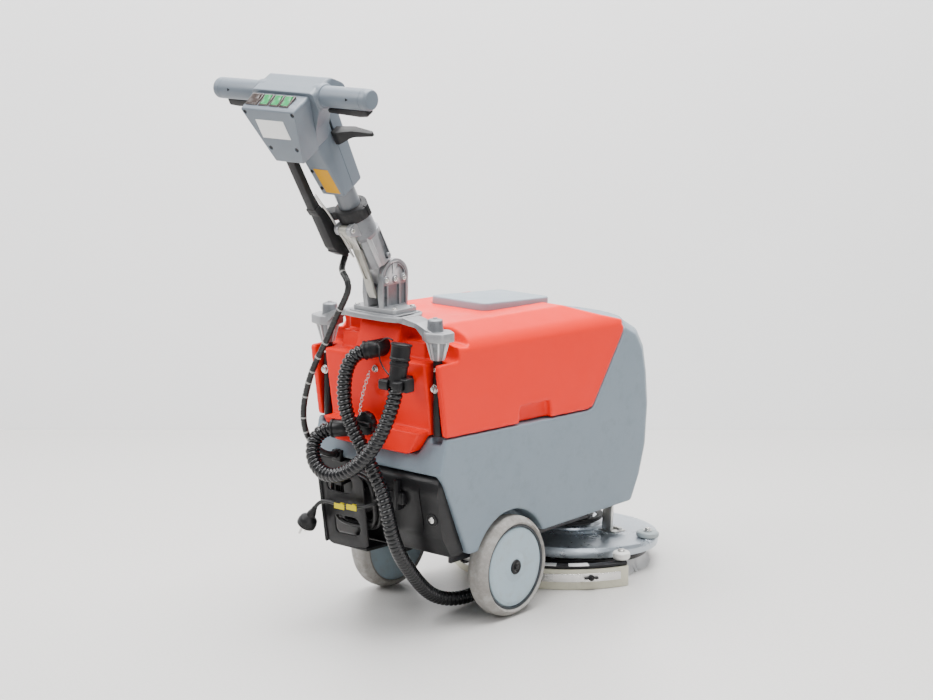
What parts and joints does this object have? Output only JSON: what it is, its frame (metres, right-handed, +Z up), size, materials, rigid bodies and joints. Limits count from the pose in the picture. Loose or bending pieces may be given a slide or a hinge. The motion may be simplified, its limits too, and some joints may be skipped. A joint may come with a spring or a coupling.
{
  "type": "floor scrubber",
  "caption": "Walk-behind floor scrubber: stacked tanks, rear wheels, tilting round brush deck, swinging curved squeegee, folding handle column.",
  "frame": {"origin": "on the floor at the middle of the machine's footprint, cords left out", "axes": "+X to the machine's right, +Y forward in the direction of travel, +Z up"},
  "size_m": [0.4514, 1.07, 1.0734],
  "materials": {
    "tank_grey": "moulded, lightly textured",
    "tank_red": "moulded, lightly textured",
    "steel": "plain",
    "tyre": "worn rubber",
    "wheel_grey": "moulded",
    "painted_frame": "satin",
    "black_plastic": "moulded",
    "deck_casting": "satin",
    "bristle_white": "bristles",
    "galvanised": "zinc plated",
    "roller_grey": "moulded",
    "blade_rubber": "soft",
    "roller_white": "moulded",
    "cast_metal": "die cast",
    "tube_grey": "satin",
    "head_grey": "fine texture",
    "grip_grey": "fine texture",
    "switch_black": "gloss",
    "switch_green": "gloss",
    "hose_black": "corrugated",
    "lead_black": "smooth"
  },
  "bodies": {
    "root": {"batteries": "black_plastic", "battery_charger": "black_plastic", "cable_holder": "black_plastic", "cast_bridge": "cast_metal", "chassis_frame": "painted_frame", "control_cable": "hose_black", "deck_bracket": "galvanised", "drain_elbow": "black_plastic", "drain_hose": "hose_black", "frame_screws": "steel", "handle_fork": "cast_metal", "hose_clip": "black_plastic", "lid_hinge_pin": "steel", "lower_tank": "tank_grey", "mains_coil": "lead_black", "mains_lead": "lead_black", "mains_plug": "lead_black", "pivot_pin": "steel", "rear_housing": "black_plastic", "rear_posts": "black_plastic", "recovery_tank": "tank_red", "suction_elbow": "black_plastic", "suction_hose": "hose_black", "vacuum_motor": "steel", "water_valve": "black_plastic", "wheel_axle": "steel"},
    "deck": {"deck_plate": "deck_casting", "gear_motor": "black_plastic"},
    "deck_roller": {"deck_roller": "roller_grey"},
    "brush": {"brush_disc": "black_plastic", "brush_bristles": "bristle_white"},
    "squeegee": {"squeegee_carrier": "black_plastic", "squeegee_blades": "blade_rubber", "squeegee_clamp": "steel", "wing_nuts": "black_plastic", "roller_pins": "steel"},
    "left_squeegee_roller": {"left_squeegee_roller": "roller_white"},
    "right_squeegee_roller": {"right_squeegee_roller": "roller_white"},
    "left_wheel": {"left_tyre": "tyre", "left_rim": "wheel_grey"},
    "right_wheel": {"right_tyre": "tyre", "right_rim": "wheel_grey"},
    "column": {"column_casting": "cast_metal", "clamp_collar": "black_plastic", "cable_box": "black_plastic"},
    "yoke": {"lock_yoke": "cast_metal"},
    "head": {"telescope_tube": "tube_grey", "head_neck": "head_grey", "head_front_cover": "head_grey", "head_rear_cover": "head_grey", "handle_grips": "grip_grey"},
    "run_lever": {"run_lever": "black_plastic"},
    "release_lever": {"release_lever": "black_plastic"},
    "main_switch": {"main_switch": "switch_black"},
    "brush_switch": {"brush_switch": "switch_green"},
    "suction_switch": {"suction_switch": "switch_green"},
    "water_switch": {"water_switch": "switch_green"},
    "lid": {"tank_lid": "tank_grey"},
    "drain_knob": {"drain_knob": "black_plastic"},
    "drain_cap": {"drain_cap": "black_plastic"}
  },
  "joints": [
    {"name": "left_wheel_spin", "type": "hinge", "parent": "root", "child": "left_wheel", "pos_m": [-0.154, -0.04703, 0.1], "axis": [1, 0, 0], "continuous": true},
    {"name": "right_wheel_spin", "type": "hinge", "parent": "root", "child": "right_wheel", "pos_m": [0.154, -0.04703, 0.1], "axis": [1, 0, 0], "continuous": true},
    {"name": "deck_tilt", "type": "hinge", "parent": "root", "child": "deck", "pos_m": [0, 0.34414, 0.1189], "axis": [1, 0, 0], "range_deg": [0, 3.5]},
    {"name": "brush_spin", "type": "hinge", "parent": "deck", "child": "brush", "pos_m": [0, 0.33914, 0.03706], "axis": [0, 0.061, 0.9981], "continuous": true},
    {"name": "deck_roller_spin", "type": "hinge", "parent": "deck", "child": "deck_roller", "pos_m": [0.17591, 0.39181, 0.07191], "axis": [0, 0.061, 0.9981], "continuous": true},
    {"name": "squeegee_swing", "type": "hinge", "parent": "root", "child": "squeegee", "pos_m": [0, 0.34097, 0.06], "axis": [0, 0, 1], "range_deg": [-25, 25]},
    {"name": "left_roller_spin", "type": "hinge", "parent": "squeegee", "child": "left_squeegee_roller", "pos_m": [-0.20769, 0.25706, 0.062], "axis": [0, 0, 1], "continuous": true},
    {"name": "right_roller_spin", "type": "hinge", "parent": "squeegee", "child": "right_squeegee_roller", "pos_m": [0.20769, 0.25706, 0.062], "axis": [0, 0, 1], "continuous": true},
    {"name": "handle_fold", "type": "hinge", "parent": "root", "child": "column", "pos_m": [0, -0.22703, 0.677], "axis": [-1, 0, 0], "range_deg": [0, 90]},
    {"name": "yoke_release", "type": "hinge", "parent": "column", "child": "yoke", "pos_m": [0, -0.33714, 0.78085], "axis": [-1, 0, 0], "range_deg": [0, 8], "stiffness_Nm_per_rad": 1, "springref_deg": -5.73},
    {"name": "handle_height", "type": "slide", "parent": "column", "child": "head", "axis": [0, -0.5, 0.866], "range_m": [0, 0.08]},
    {"name": "run_lever_squeeze", "type": "hinge", "parent": "head", "child": "run_lever", "pos_m": [0, -0.43523, 1.02675], "axis": [-1, 0, 0], "range_deg": [0, 2], "stiffness_Nm_per_rad": 1.5, "springref_deg": -5.73},
    {"name": "release_lever_pull", "type": "hinge", "parent": "head", "child": "release_lever", "pos_m": [0.034, -0.39003, 0.96047], "axis": [0, -0.866, -0.5], "range_deg": [0, 12], "stiffness_Nm_per_rad": 1, "springref_deg": -5.73},
    {"name": "lid_hinge", "type": "hinge", "parent": "root", "child": "lid", "pos_m": [0, 0.20197, 0.5775], "axis": [-1, 0, 0], "range_deg": [0, 100]},
    {"name": "drain_knob_turn", "type": "hinge", "parent": "root", "child": "drain_knob", "pos_m": [-0.006, -0.27903, 0.402], "axis": [0, -1, 0], "range_deg": [0, 180]},
    {"name": "drain_cap_pull", "type": "slide", "parent": "root", "child": "drain_cap", "axis": [0.0353, 0.1413, 0.9893], "range_m": [0, 0.03]},
    {"name": "main_switch_rock", "type": "hinge", "parent": "head", "child": "main_switch", "pos_m": [-0.047, -0.51455, 1.02714], "axis": [1, 0, 0], "range_deg": [0, 12]},
    {"name": "brush_switch_rock", "type": "hinge", "parent": "head", "child": "brush_switch", "pos_m": [-0.018, -0.51455, 1.02714], "axis": [1, 0, 0], "range_deg": [0, 12]},
    {"name": "suction_switch_rock", "type": "hinge", "parent": "head", "child": "suction_switch", "pos_m": [0.008, -0.51455, 1.02714], "axis": [1, 0, 0], "range_deg": [0, 12]},
    {"name": "water_switch_rock", "type": "hinge", "parent": "head", "child": "water_switch", "pos_m": [0.033, -0.51455, 1.02714], "axis": [1, 0, 0], "range_deg": [0, 12]}
  ]
}
